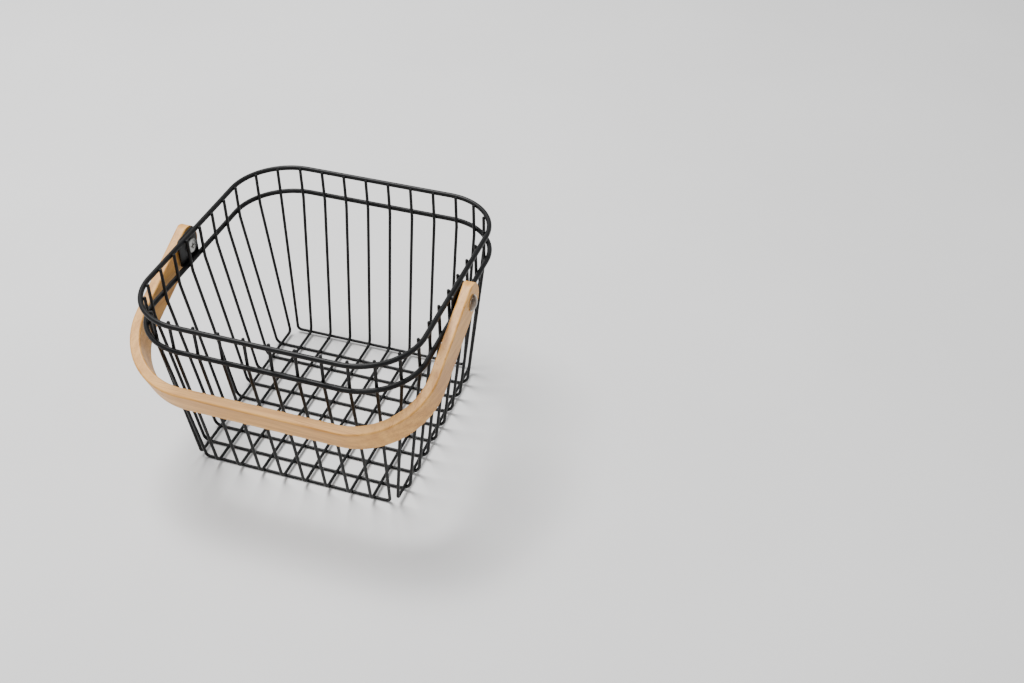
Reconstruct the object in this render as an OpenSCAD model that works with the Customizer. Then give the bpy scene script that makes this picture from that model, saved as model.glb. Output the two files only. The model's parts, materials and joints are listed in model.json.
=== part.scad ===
// Wire produce basket with a swinging bentwood handle.
// The basket's floor stands on z = 0 and is centred on the origin. +X is right, +Y is back.

/* [Basket] */
// Outer width of the rim, left to right
rim_w = 254; // [180:1:360]
// Outer depth of the rim, front to back
rim_d = 256; // [180:1:360]
// Height from the table to the top of the rim wire
basket_h = 184.5; // [110:0.5:260]
// Outer radius of the rim's corners
rim_corner_r = 55; // [40:1:80]
// Distance between the centres of the rim and the lower ring
collar_h = 26; // [22:0.5:36]
// Width of the floor, measured to where the walls' slope meets it
floor_w = 204; // [150:1:220]
// Depth of the floor, measured to where the walls' slope meets it
floor_d = 197; // [150:1:220]

/* [Wire] */
// Diameter of the rim and the lower ring
ring_wire = 4.6; // [3:0.1:6]
// Diameter of the upright wires
wire = 2.9; // [2:0.1:3.5]
// Wires in each direction between the two edge wires
inner_wires = 8; // [4:1:10]
// Spacing of the wires where they meet the rim
rim_pitch = 22.4; // [12:0.1:26]
// How much further forward the left-hand uprights stand than the right-hand ones
left_forward = 5; // [0:0.5:6]
// Centreline radius of the bends at the floor, except on the right
bend_r = 7; // [5:0.5:12]
// Centreline radius of the rounder bends at the right of the floor
right_bend_r = 12; // [5:0.5:16]
// Centreline radius of the edge wires' own bends
edge_bend_r = 4; // [3:0.5:8]
// Centreline radius of the slight bend under the lower ring
collar_bend_r = 20; // [10:1:40]
// Height of the wire ends above the centre of the rim wire
wire_end = 1.5; // [0.5:0.1:4]
// How far wires sink into each other where they are welded
weld_sink = 0.1; // [0.05:0.05:0.15]
// How far short of the floor's full depth the side edge wires turn up
side_short = 6.5; // [5:0.5:12]
// How far short of the floor's full width the front and back edge wires turn up
front_short = 11.5; // [9:0.5:16]
// Angle round the rim's corner from its middle to each edge wire
edge_spread = 12.5; // [8:0.5:25]
// Angle round the bends at which the front edge wire is welded
front_turn = 0; // [0:1:45]
// Angle round the bends at which the back edge wire is welded
back_turn = 40; // [0:1:45]
// Angle round the bends at which the left edge wire is welded
left_turn = 0; // [0:1:45]
// Angle round the bends at which the right edge wire is welded
right_turn = 45; // [0:1:45]

/* [Handle] */
// Thickness of the bent wood
wood_t = 9; // [6:0.5:14]
// Width of the bent wood
wood_w = 28; // [18:0.5:34]
// Length from the pivots to the outside of the crossbar
handle_reach = 146.5; // [143:0.5:220]
// Outer radius of the two bends in the wood
handle_r = 69; // [30:1:90]
// Length of wood beyond each pivot
wood_tail = 17; // [14:0.5:26]
// Radius of the corners at the leg ends
tail_r = 12.5; // [4:0.5:13]
// Radius of the wood's eased edges
eased_r = 1.6; // [0.5:0.1:3]
// Angle at which the handle has dropped below level
handle_drop = 23.4; // [10:0.1:26]

/* [Pivot] */
// Distance of the pivots in front of the basket's middle
pivot_forward = 4; // [0:0.5:8]
// Width of the pivot plates
plate_w = 29; // [22:0.5:40]
// Thickness of the pivot plates
plate_t = 1.4; // [1:0.1:3]
// Distance of the plates' middle in front of the pivots
plate_forward = 3; // [0:0.5:5]
// How far the plates reach past the centres of both rings
plate_past = 1.5; // [0.5:0.1:2]
// Radius of the plates' corners
plate_r = 4; // [1:0.5:8]
// Diameter of the posts' barrels
barrel_d = 6; // [5:0.1:8]
// Diameter of the screws that close the posts
screw_d = 4; // [3:0.1:4.4]
// Diameter of the heads of posts and screws
head_d = 13.4; // [12:0.1:16]
// Height of the posts' domed heads
dome_h = 3.2; // [2:0.1:5]
// Height of the straight edge round the posts' heads
dome_edge = 0.6; // [0.3:0.1:1]
// Height of the screws' heads
screw_head_h = 2.2; // [1.5:0.1:2.5]
// Bevel round the screws' heads
screw_bevel = 0.6; // [0.3:0.1:1]
// Depth of the cross recess in the screws' heads
recess_h = 1.2; // [0.5:0.1:1.4]
// Length of the recess's two arms
recess_l = 6; // [4:0.5:8]
// Width of the recess's two arms
recess_w = 1.4; // [1:0.1:2]
// Thickness of the spacer washers between plate and wood
spacer_t = 1.3; // [0.8:0.1:3]
// Diameter of the spacer washers
spacer_d = 18; // [14:0.5:22]
// Thickness of the washers under the domed heads
head_washer_t = 0.8; // [0.5:0.1:1.5]
// Diameter of the washers under the domed heads
head_washer_d = 14.6; // [13:0.1:20]

/* [Clearances] */
// Radial clearance of the wood on the barrels
running_gap = 0.05; // [0.02:0.01:0.1]
// Radial clearance of the washers on the barrels
washer_gap = 0.1; // [0.05:0.05:0.3]
// Gap between the wood and the washer on each side of it
side_gap = 0.3; // [0.2:0.05:0.6]

/* [Hidden] */
wires = inner_wires + 2;
LONG = [for (i = [0 : wires - 1]) wire_name(i, "left_edge_wire", "right_edge_wire", "long_wire_")];
CROSS = [for (i = [0 : wires - 1]) wire_name(i, "front_edge_wire", "back_edge_wire", "cross_wire_")];
SIDES = ["left", "right"];
PER_SIDE = ["pivot_plate_", "pivot_post_", "pivot_screw_", "spacer_washer_", "head_washer_"];

$fn = 48;
black = [0.10, 0.10, 0.10];
steel = [0.70, 0.71, 0.72];
brass = [0.62, 0.56, 0.42];
beech = [0.83, 0.68, 0.47];

// Names the wires of one set from 0 upwards: the two outermost are edge wires.
function wire_name(i, first, last, middle) =
    i == 0 ? first : i == inner_wires + 1 ? last : str(middle, i);

// The wire's bends are drawn this much thicker, and its straight stretches end inside them.
bend_swell = 0.06;
lap = 0.3;

// Centreline of the rim and the lower ring.
ring_x = (rim_w - ring_wire) / 2;
ring_y = (rim_d - ring_wire) / 2;
ring_r = rim_corner_r - ring_wire / 2;
rim_z = basket_h - ring_wire / 2;
lower_z = rim_z - collar_h;

// The uprights are welded to the inside of both rings.
weld_in = (ring_wire + wire) / 2 - weld_sink;
top_z = rim_z + wire_end;
collar_z = lower_z - ring_wire;

// Floor layers: the left-to-right wires touch the table and the front-to-back wires lie on them.
layer = wire - weld_sink;
cross_z = (wire + bend_swell) / 2;
long_z = cross_z + layer;

// Where a floor bend of radius r begins, for a wire at height z between the floor's and the
// rim's half size.
function bend_start(half_floor, half_rim, z, r) =
    let (run = half_rim - weld_in - half_floor)
    half_floor - r * tan((90 - atan(run / (collar_z - z))) / 2);
start_left = bend_start(floor_w / 2, ring_x, cross_z, bend_r);
start_right = bend_start(floor_w / 2, ring_x, cross_z, right_bend_r);
start_y = bend_start(floor_d / 2, ring_y, long_z, bend_r);

// Distance of an edge wire from the floor's middle, and its height above the bend's lowest point,
// where it lies against a bend at an angle round it. Its own centre is on an arc of radius r.
function edge_out(start, r, turn) = start + r * sin(turn);
function edge_up(bend, r, turn) = bend - r * cos(turn);

// The side edge wires lie inside the bends of the left-to-right wires. The front and back ones
// are welded to the outside of the bends of the front-to-back wires.
left_x = edge_out(start_left, bend_r - layer, left_turn);
left_z = cross_z + edge_up(bend_r, bend_r - layer, left_turn);
right_x = edge_out(start_right, right_bend_r - layer, right_turn);
right_z = cross_z + edge_up(right_bend_r, right_bend_r - layer, right_turn);
front_y = edge_out(start_y, bend_r + layer, front_turn);
front_z = long_z + edge_up(bend_r, bend_r + layer, front_turn);
back_y = edge_out(start_y, bend_r + layer, back_turn);
back_z = long_z + edge_up(bend_r, bend_r + layer, back_turn);

// Wire number i counts from the left, or from the front. Its place on the floor between two
// edge wires at the distances first and last from the middle:
function from_middle(i) = i - (wires - 1) / 2;
function is_edge(i) = i == 0 || i == wires - 1;
function on_floor(i, first, last) =
    i == 0 ? -first : i == wires - 1 ? last : from_middle(i) * (first + last) / (wires - 1);

// Where an upright stands against the inside of a ring, at a distance t along that side.
function inside(t, along, across) =
    let (past = abs(t) - (along - ring_r))
    past <= 0 ? across - weld_in : across - ring_r + sqrt(pow(ring_r - weld_in, 2) - past * past);

// Where an edge wire stands against the inside of a ring's corner, at an angle from the X axis.
function in_corner(angle) = [
    ring_x - ring_r + (ring_r - weld_in) * cos(angle),
    ring_y - ring_r + (ring_r - weld_in) * sin(angle)
];

// Stack of pieces on each pivot, outwards from the basket.
plate_x = rim_w / 2;
spacer_x = plate_x + plate_t;
wood_x = spacer_x + spacer_t + side_gap;
head_washer_x = wood_x + wood_t + side_gap;
head_x = head_washer_x + head_washer_t;
pivot_y = -pivot_forward;
pivot_z = (rim_z + lower_z) / 2;

// The barrel ends a little inside the plate, so that the screw's head clamps the plate.
barrel_short = plate_t / 3;
shank_l = (head_x - plate_x) * 0.8;
bore_spare = 0.5;

function unit(v) = v / norm(v);

// One ring of the heavier wire: four straight stretches and four quarter bends.
module ring(z) {
    for (turn = [0 : 3]) {
        reach = turn % 2 == 0 ? ring_x : ring_y;
        half = (turn % 2 == 0 ? ring_y : ring_x) - ring_r;
        rotate(90 * turn) {
            translate([reach, half, z]) rotate([90, 0, 0]) cylinder(h = 2 * half, d = ring_wire);
            translate([reach - ring_r, half, z])
                rotate_extrude(angle = 90, $fn = 96) translate([ring_r, 0]) circle(d = ring_wire);
        }
    }
}

module top_rim() {
    color(black) ring(rim_z);
}

module lower_rim() {
    color(black) ring(lower_z);
}

// A bend of the wire that starts at the origin along +Z and turns towards +X.
// The children go on from its end.
module bend(radius, angle) {
    translate([radius, 0, 0]) rotate([90, 0, 180])
        rotate_extrude(angle = angle, $fn = 96)
            translate([radius, 0]) circle(d = wire + bend_swell);
    translate([radius, 0, 0]) rotate([0, angle, 0]) translate([-radius, 0, 0]) children();
}

// A straight stretch of the wire along +Z, from a bend or from the start of the wire.
// The children go on from its end, which reaches a little into the bend that follows.
module stretch(length, from_bend) {
    back = from_bend ? lap : 0;
    translate([0, 0, -back]) cylinder(h = length + back + lap, d = wire);
    translate([0, 0, length]) children();
}

// The last stretch of the wire along +Z, with an eased end.
module wire_tip(length) {
    ease = wire / 5;
    translate([0, 0, -lap]) cylinder(h = length + lap - ease, d = wire);
    translate([0, 0, length - ease]) cylinder(h = ease, d1 = wire, d2 = wire - ease);
}

// The half of a U wire that runs over the floor along +Y and up to the rim.
// Its floor part is floor_l long to the corner of its slope, with a bend of radius r there, and
// it rises to the point at = [across, along] while it starts from x = 0 at height z.
module half_wire(floor_l, r, z, at) {
    slope = [at.x, at.y - floor_l, collar_z - z];
    lean = atan2(slope.x, slope.z);
    dir = unit(slope);
    turn_1 = acos(dir.y);
    turn_2 = acos(dir.z);
    cut_1 = r * tan(turn_1 / 2);
    cut_2 = collar_bend_r * tan(turn_2 / 2);
    // Directions of the first bend's inside and of the axis it turns about, at its end.
    up = [sin(lean), 0, cos(lean)];
    in_1 = up * cos(turn_1) - [0, sin(turn_1), 0];
    axis_1 = cross(dir, in_1);
    in_2 = [0, 0, 1] - dir * dir.z;
    rotate([0, -90, 0]) rotate([-90, 0, 0])
        stretch(floor_l - cut_1, false)
        rotate([0, 0, lean])
        bend(r, turn_1)
        stretch(norm(slope) - cut_1 - cut_2, true)
        rotate([0, 0, atan2(in_2 * axis_1, in_2 * in_1)])
        bend(collar_bend_r, turn_2)
        wire_tip(top_z - collar_z - cut_2);
}

// A whole U wire that crosses the floor along Y at x = across and height z. Each of the lists
// floor_l, r and at holds the value for its end at +Y and then the one for its end at -Y.
module u_wire(across, floor_l, r, z, at) {
    translate([across, 0, z])
        for (way = [0, 1]) {
            mirror([0, way, 0]) half_wire(floor_l[way], r[way], z, at[way] - [across, 0]);
        }
}

// A front-to-back wire, counted from the left. Its two ends are at the back and at the front.
module long_wire(i) {
    color(black)
        if (is_edge(i)) {
            corner = in_corner(45 - edge_spread);
            at = [sign(from_middle(i)) * corner.x, corner.y];
            floor_l = floor_d / 2 - side_short;
            z = i == 0 ? left_z : right_z;
            radii = [edge_bend_r, edge_bend_r];
            u_wire(on_floor(i, left_x, right_x), [floor_l, floor_l], radii, z, [at, at]);
        } else {
            rim_at = from_middle(i) * rim_pitch;
            at = [rim_at, inside(rim_at, ring_x, ring_y)];
            floor_l = floor_d / 2;
            radii = [bend_r, bend_r];
            u_wire(on_floor(i, left_x, right_x), [floor_l, floor_l], radii, long_z, [at, at]);
        }
}

// A left-to-right wire, counted from the front. Its two ends are at the left and at the right.
module cross_wire(i) {
    color(black) rotate([0, 0, 90])
        if (is_edge(i)) {
            corner = in_corner(45 + edge_spread);
            at = [sign(from_middle(i)) * corner.y, corner.x];
            floor_l = floor_w / 2 - front_short;
            z = i == 0 ? front_z : back_z;
            radii = [edge_bend_r, edge_bend_r];
            u_wire(on_floor(i, front_y, back_y), [floor_l, floor_l], radii, z, [at, at]);
        } else {
            right_at = from_middle(i) * rim_pitch;
            at = [for (t = [right_at - left_forward, right_at]) [t, inside(t, ring_y, ring_x)]];
            floor_l = floor_w / 2;
            radii = [bend_r, right_bend_r];
            u_wire(on_floor(i, front_y, back_y), [floor_l, floor_l], radii, cross_z, at);
        }
}

// A rectangle centred on the origin with rounded corners.
module rounded(w, h, r) {
    square([w - 2 * r, h], center = true);
    square([w, h - 2 * r], center = true);
    for (x = [-1, 1], y = [-1, 1]) {
        translate([x * (w / 2 - r), y * (h / 2 - r)]) circle(r = r);
    }
}

// The bent wood in its own plane: the pivots on the X axis, the crossbar towards -Y.
module handle() {
    bend_x = wood_x + wood_t - handle_r;
    bend_y = handle_r - handle_reach;
    bore_l = 2 * (wood_x + 2 * wood_t);
    color(beech)
        translate([0, pivot_y, pivot_z]) rotate([handle_drop, 0, 0])
        difference() {
            union() {
                translate([-bend_x, -handle_reach + wood_t / 2, 0]) rotate([90, 0, 90])
                    linear_extrude(2 * bend_x) rounded(wood_t, wood_w, eased_r);
                for (way = [0, 1]) {
                    mirror([way, 0, 0]) {
                        translate([bend_x, bend_y, 0]) rotate([0, 0, -90])
                            rotate_extrude(angle = 90, $fn = 96)
                                translate([handle_r - wood_t / 2, 0]) rounded(wood_t, wood_w, eased_r);
                        leg(bend_y);
                    }
                }
            }
            translate([-bore_l / 2, 0, 0]) rotate([0, 90, 0])
                cylinder(h = bore_l, r = barrel_d / 2 + running_gap);
        }
}

// The right leg, from the end of its bend at from_y to the rounded tail behind the pivot.
module leg(from_y) {
    length = wood_tail - from_y;
    intersection() {
        translate([wood_x + wood_t / 2, wood_tail, 0]) rotate([90, 0, 0])
            linear_extrude(length) rounded(wood_t, wood_w, eased_r);
        // Side view of the leg. Its far end lies beyond the leg, so only the tail is rounded.
        translate([wood_x - wood_t, wood_tail - length, 0]) rotate([90, 0, 90])
            linear_extrude(3 * wood_t) rounded(2 * length, wood_w, tail_r);
    }
}

// A flat plate across the outside of both rings, with the hole for the post.
module pivot_plate() {
    color(black)
        translate([plate_x, pivot_y - plate_forward, pivot_z]) rotate([90, 0, 90])
        difference() {
            linear_extrude(plate_t) rounded(plate_w, collar_h + 2 * plate_past, plate_r);
            translate([plate_forward, 0, -plate_t]) cylinder(h = 3 * plate_t, d = barrel_d);
        }
}

// Domed head outside, and a bored barrel that goes in through washer, wood, spacer and plate.
module pivot_post() {
    rise = dome_h - dome_edge;
    dome_r = (pow(head_d / 2, 2) + rise * rise) / (2 * rise);
    barrel_x = plate_x + barrel_short;
    color(brass)
        translate([barrel_x, pivot_y, pivot_z]) rotate([0, 90, 0])
        difference() {
            union() {
                cylinder(h = head_x - barrel_x + dome_edge / 2, d = barrel_d);
                translate([0, 0, head_x - barrel_x])
                    intersection() {
                        cylinder(h = 2 * dome_h, d = head_d);
                        translate([0, 0, dome_h - dome_r]) sphere(r = dome_r, $fn = 96);
                    }
            }
            translate([0, 0, -1]) cylinder(h = shank_l - barrel_short + bore_spare + 1, d = screw_d);
        }
}

// Flat round head with a cross recess inside the basket, and a shank in the post's bore.
module pivot_screw() {
    color(steel)
        translate([plate_x, pivot_y, pivot_z]) rotate([0, 90, 0]) {
            cylinder(h = shank_l, d = screw_d);
            mirror([0, 0, 1])
                difference() {
                    union() {
                        cylinder(h = screw_head_h - screw_bevel, d = head_d);
                        translate([0, 0, screw_head_h - screw_bevel])
                            cylinder(h = screw_bevel, d1 = head_d, d2 = head_d - 2 * screw_bevel);
                    }
                    for (turn = [0, 90]) {
                        translate([0, 0, screw_head_h]) rotate([0, 0, turn])
                            cube([recess_l, recess_w, 2 * recess_h], center = true);
                    }
                }
        }
}

// A flat washer on the pivot, from x outwards.
module washer(x, d, t) {
    translate([x, pivot_y, pivot_z]) rotate([0, 90, 0])
        difference() {
            cylinder(h = t, d = d);
            translate([0, 0, -t]) cylinder(h = 3 * t, d = barrel_d + 2 * washer_gap);
        }
}

module spacer_washer() {
    color(black) washer(spacer_x, spacer_d, spacer_t);
}

module head_washer() {
    color(steel) washer(head_washer_x, head_washer_d, head_washer_t);
}

// The right side's pieces as drawn, or their mirror image on the left.
module on_side(side) {
    if (side == "left") mirror([1, 0, 0]) children();
    else children();
}

top_rim();
lower_rim();
for (i = [0 : wires - 1]) {
    long_wire(i);
    cross_wire(i);
}
for (side = SIDES) {
    on_side(side) pivot_plate();
    on_side(side) pivot_post();
    on_side(side) pivot_screw();
    on_side(side) spacer_washer();
    on_side(side) head_washer();
}
handle();
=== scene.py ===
import json
import math

import bpy
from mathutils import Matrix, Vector


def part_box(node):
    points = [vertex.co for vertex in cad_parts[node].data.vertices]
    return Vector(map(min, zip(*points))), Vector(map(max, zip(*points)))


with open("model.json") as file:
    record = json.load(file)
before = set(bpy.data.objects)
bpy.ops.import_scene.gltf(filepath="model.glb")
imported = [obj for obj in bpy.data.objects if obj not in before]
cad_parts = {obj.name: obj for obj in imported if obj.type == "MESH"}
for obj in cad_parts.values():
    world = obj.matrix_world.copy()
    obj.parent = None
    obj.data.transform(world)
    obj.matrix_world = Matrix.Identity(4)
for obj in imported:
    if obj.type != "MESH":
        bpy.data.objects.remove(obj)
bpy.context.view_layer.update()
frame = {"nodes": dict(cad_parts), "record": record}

# Camera: the lens in millimetres, its place in metres and the way it looks
SENSOR_WIDTH = 36
FOCAL_LENGTH = 44.52
NEAR_CLIP = 0.01
CAMERA_PLACE = (0.4344, -0.7903, 0.8212)
LOOK_DOWN = math.radians(39.6)
LOOK_LEFT = math.radians(18.3)

# Studio: places and sizes in metres, powers in watts
FLOOR_SIZE = 30
LIGHT_AIM = (0, 0, 0.05)
KEY_PLACE = (-0.7, 0.35, 2.2)
KEY_SIZE = 1.1
KEY_POWER = 92
FILL_PLACE = (0.6, -1.9, 1.8)
FILL_SIZE = 1.0
FILL_POWER = 12
SKY_COLOUR = (0.97, 0.985, 1.0)
SKY_STRENGTH = 0.58

# Noise: most of its values lie between these two, so a plain two-tone ramp runs from one to the other
NOISE_LOW = 0.3
NOISE_HIGH = 0.7

# Coating: tones, range of roughness, and texture scales in waves per metre
COAT_DARK = (0.002, 0.002, 0.0022)
COAT_LIGHT = (0.005, 0.005, 0.0053)
COAT_ROUGHNESS = (0.36, 0.50)
COAT_SPECULAR = 0.22
COAT_PEEL_SCALE = 900
COAT_PATCH_SCALE = 60

# Wood: the stops of its three ramps, each a position and a colour
WOOD_TONES = [(0.30, (0.50, 0.215, 0.040)), (0.48, (0.65, 0.315, 0.066)), (0.66, (0.80, 0.420, 0.105))]
PORE_TONES = [(0.34, (0.62, 0.50, 0.38)), (0.46, (1, 1, 1))]
PATCH_TONES = [(NOISE_LOW, (0.88, 0.85, 0.80)), (NOISE_HIGH, (1, 1, 1))]
WOOD_ROUGHNESS = (0.40, 0.54)
# The grain turns from the crossbar's way to the legs' over the first width, in metres,
# and that zone ends the second width in from the handle's left and right ends
GRAIN_TURN = 0.035
GRAIN_TURN_INSET = 0.02

# Metals and paper
METAL_UNEVENNESS = 0.06
PAPER_DARK = (0.68, 0.675, 0.67)
PAPER_LIGHT = (0.72, 0.715, 0.71)
PAPER_ROUGHNESS = 0.85


# ---- material nodes ----

def new_material(name):
    """A new material, with its nodes, its links and its shader."""
    material = bpy.data.materials.new(name)
    material.use_nodes = True
    nodes = material.node_tree.nodes
    return material, nodes, material.node_tree.links, nodes["Principled BSDF"]


def add(nodes, kind, **inputs):
    """A new node with the named inputs set."""
    node = nodes.new(kind)
    for key, value in inputs.items():
        node.inputs[key].default_value = value
    return node


def object_points(nodes, links, stretch=(1, 1, 1)):
    """Object coordinates multiplied by a factor along each axis."""
    coords = nodes.new("ShaderNodeTexCoord")
    mapping = nodes.new("ShaderNodeMapping")
    mapping.inputs["Scale"].default_value = stretch
    links.new(coords.outputs["Object"], mapping.inputs["Vector"])
    return mapping.outputs["Vector"]


def noise(nodes, links, vector, scale, detail=3.0, roughness=0.5):
    """Noise from 0 to 1 with the given number of waves per metre."""
    node = add(nodes, "ShaderNodeTexNoise", Scale=scale, Detail=detail, Roughness=roughness)
    links.new(vector, node.inputs["Vector"])
    return node.outputs["Fac"]


def ramp(nodes, links, fac, stops):
    """A colour ramp with the given (position, colour) stops."""
    node = nodes.new("ShaderNodeValToRGB")
    elements = node.color_ramp.elements
    while len(elements) < len(stops):
        elements.new(0.5)
    for element, (position, colour) in zip(elements, stops):
        element.position = position
        element.color = (*colour, 1)
    links.new(fac, node.inputs["Fac"])
    return node.outputs["Color"]


def two_tone(nodes, links, fac, dark, light):
    """A colour that goes from dark to light with the noise."""
    return ramp(nodes, links, fac, [(NOISE_LOW, dark), (NOISE_HIGH, light)])


def bump(nodes, links, height, shader, strength, distance):
    """Shades the surface as if the height raised it, by up to a distance in metres."""
    node = add(nodes, "ShaderNodeBump", Strength=strength, Distance=distance)
    links.new(height, node.inputs["Height"])
    links.new(node.outputs["Normal"], shader.inputs["Normal"])


def map_range(nodes, links, fac, low, high):
    """A value from 0 to 1 turned into one from low to high."""
    node = nodes.new("ShaderNodeMapRange")
    node.inputs["To Min"].default_value = low
    node.inputs["To Max"].default_value = high
    links.new(fac, node.inputs["Value"])
    return node.outputs["Result"]


def blend(nodes, links, fac, a, b):
    """The number a where fac is 0 and b where it is 1."""
    node = nodes.new("ShaderNodeMix")
    node.data_type = "FLOAT"
    links.new(fac, node.inputs["Factor"])
    links.new(a, node.inputs["A"])
    links.new(b, node.inputs["B"])
    return node.outputs["Result"]


def tint(nodes, links, colour, shade, amount):
    """The colour multiplied by the shade, as much as amount says."""
    mix = nodes.new("ShaderNodeMix")
    mix.data_type = "RGBA"
    mix.blend_type = "MULTIPLY"
    mix.inputs["Factor"].default_value = amount
    links.new(colour, mix.inputs["A"])
    links.new(shade, mix.inputs["B"])
    return mix.outputs["Result"]


# ---- materials ----

def powder_coat():
    """Satin black coating with a fine orange-peel texture and slightly uneven gloss."""
    material, nodes, links, shader = new_material("powder_coat")
    points = object_points(nodes, links)
    peel = noise(nodes, links, points, COAT_PEEL_SCALE, detail=2)
    patches = noise(nodes, links, points, COAT_PATCH_SCALE)
    links.new(two_tone(nodes, links, patches, COAT_DARK, COAT_LIGHT), shader.inputs["Base Color"])
    links.new(map_range(nodes, links, patches, *COAT_ROUGHNESS), shader.inputs["Roughness"])
    shader.inputs["Specular IOR Level"].default_value = COAT_SPECULAR
    bump(nodes, links, peel, shader, strength=0.12, distance=0.0002)
    return material


def leg_share(nodes, links, leg_start):
    """0 on the crossbar and 1 on the legs, going smoothly from one to the other round the bends.

    It depends only on how far a point is from the middle of the handle, left or right.
    The legs are those parts that are at least leg_start away.
    """
    coords = nodes.new("ShaderNodeTexCoord")
    parts = nodes.new("ShaderNodeSeparateXYZ")
    links.new(coords.outputs["Object"], parts.inputs["Vector"])
    side = nodes.new("ShaderNodeMath")
    side.operation = "ABSOLUTE"
    links.new(parts.outputs["X"], side.inputs[0])
    fade = nodes.new("ShaderNodeMapRange")
    fade.interpolation_type = "SMOOTHSTEP"
    fade.inputs["From Min"].default_value = leg_start - GRAIN_TURN
    fade.inputs["From Max"].default_value = leg_start
    links.new(side.outputs["Value"], fade.inputs["Value"])
    return fade.outputs["Result"]


def grain(nodes, links, on_legs, scale, squeeze, detail):
    """Noise drawn out along the strip, on the crossbar along X and on the legs along Y."""
    bar_points = object_points(nodes, links, (squeeze, 1, 1))
    bar = noise(nodes, links, bar_points, scale, detail, roughness=0.6)
    leg_points = object_points(nodes, links, (1, squeeze, 0.8))
    leg = noise(nodes, links, leg_points, scale, detail, roughness=0.6)
    return blend(nodes, links, on_legs, bar, leg)


def bent_wood():
    """Light wood: growth bands and short dark pores that run along the bent strip."""
    material, nodes, links, shader = new_material("bent_wood")
    half_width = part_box("handle")[1][0]
    on_legs = leg_share(nodes, links, half_width - GRAIN_TURN_INSET)
    bands = grain(nodes, links, on_legs, scale=160, squeeze=0.05, detail=4)
    pores = grain(nodes, links, on_legs, scale=1100, squeeze=0.03, detail=3)
    patches = noise(nodes, links, object_points(nodes, links), scale=16)
    tone = ramp(nodes, links, bands, WOOD_TONES)
    dark_pores = ramp(nodes, links, pores, PORE_TONES)
    uneven = ramp(nodes, links, patches, PATCH_TONES)
    with_pores = tint(nodes, links, tone, dark_pores, amount=0.7)
    links.new(tint(nodes, links, with_pores, uneven, amount=0.8), shader.inputs["Base Color"])
    links.new(map_range(nodes, links, patches, *WOOD_ROUGHNESS), shader.inputs["Roughness"])
    bump(nodes, links, pores, shader, strength=0.25, distance=0.0002)
    return material


def metal(name, dark, light, roughness):
    """A plated metal with a fine texture and slightly uneven tone and gloss."""
    material, nodes, links, shader = new_material(name)
    points = object_points(nodes, links)
    fac = noise(nodes, links, points, scale=320, detail=4)
    links.new(two_tone(nodes, links, fac, dark, light), shader.inputs["Base Color"])
    gloss = map_range(nodes, links, fac, roughness - METAL_UNEVENNESS, roughness + METAL_UNEVENNESS)
    links.new(gloss, shader.inputs["Roughness"])
    shader.inputs["Metallic"].default_value = 1.0
    texture = noise(nodes, links, points, scale=1500, detail=2)
    bump(nodes, links, texture, shader, strength=0.08, distance=0.0001)
    return material


def paper():
    """Pale seamless paper with a faint mottle."""
    material, nodes, links, shader = new_material("paper")
    fac = noise(nodes, links, object_points(nodes, links), scale=3, detail=4)
    links.new(two_tone(nodes, links, fac, PAPER_DARK, PAPER_LIGHT), shader.inputs["Base Color"])
    shader.inputs["Roughness"].default_value = PAPER_ROUGHNESS
    return material


SLOT_MATERIALS = {
    "coated_wire": powder_coat(),
    "bent_wood": bent_wood(),
    "post_metal": metal("post_metal", dark=(0.09, 0.07, 0.055), light=(0.24, 0.19, 0.15), roughness=0.16),
    "screw_metal": metal("screw_metal", dark=(0.30, 0.30, 0.29), light=(0.46, 0.46, 0.45), roughness=0.34),
    "washer_metal": metal("washer_metal", dark=(0.36, 0.35, 0.33), light=(0.52, 0.51, 0.48), roughness=0.36),
}
SLOT_MATERIALS["coated_plate"] = SLOT_MATERIALS["coated_wire"]
SLOT_MATERIALS["dark_washer"] = SLOT_MATERIALS["coated_wire"]


def dress_nodes():
    """Gives every CAD node the material of its slot in the record."""
    for entry in frame["record"]["subparts"]:
        cad = frame["nodes"][entry["node"]]
        cad.data.materials.clear()
        cad.data.materials.append(SLOT_MATERIALS[entry["material_slot"]])


# ---- floor, lights and camera ----

def floor():
    """A wide sheet of paper at the height that the basket stands on."""
    bpy.ops.mesh.primitive_plane_add(size=FLOOR_SIZE)
    plane = bpy.context.object
    plane.name = "floor"
    plane.data.materials.append(paper())


def area_light(name, place, size, power):
    """A round soft light that shines at the basket."""
    data = bpy.data.lights.new(name, "AREA")
    data.shape = "DISK"
    data.size = size
    data.energy = power
    lamp = bpy.data.objects.new(name, data)
    lamp.location = place
    lamp.rotation_euler = (Vector(LIGHT_AIM) - Vector(place)).to_track_quat("-Z", "Y").to_euler()
    bpy.context.collection.objects.link(lamp)


def world_light():
    """Even light from all round."""
    world = bpy.data.worlds.new("studio")
    world.use_nodes = True
    background = world.node_tree.nodes["Background"]
    background.inputs["Color"].default_value = (*SKY_COLOUR, 1)
    background.inputs["Strength"].default_value = SKY_STRENGTH
    bpy.context.scene.world = world


def camera():
    """Looks down at the basket from its front right."""
    data = bpy.data.cameras.new("camera")
    data.sensor_width = SENSOR_WIDTH
    data.lens = FOCAL_LENGTH
    data.clip_start = NEAR_CLIP
    eye = bpy.data.objects.new("camera", data)
    eye.location = CAMERA_PLACE
    eye.rotation_euler = (math.pi / 2 - LOOK_DOWN, 0, LOOK_LEFT)
    bpy.context.collection.objects.link(eye)
    bpy.context.scene.camera = eye


dress_nodes()
floor()
world_light()
area_light("key", KEY_PLACE, KEY_SIZE, KEY_POWER)
area_light("fill", FILL_PLACE, FILL_SIZE, FILL_POWER)
camera()
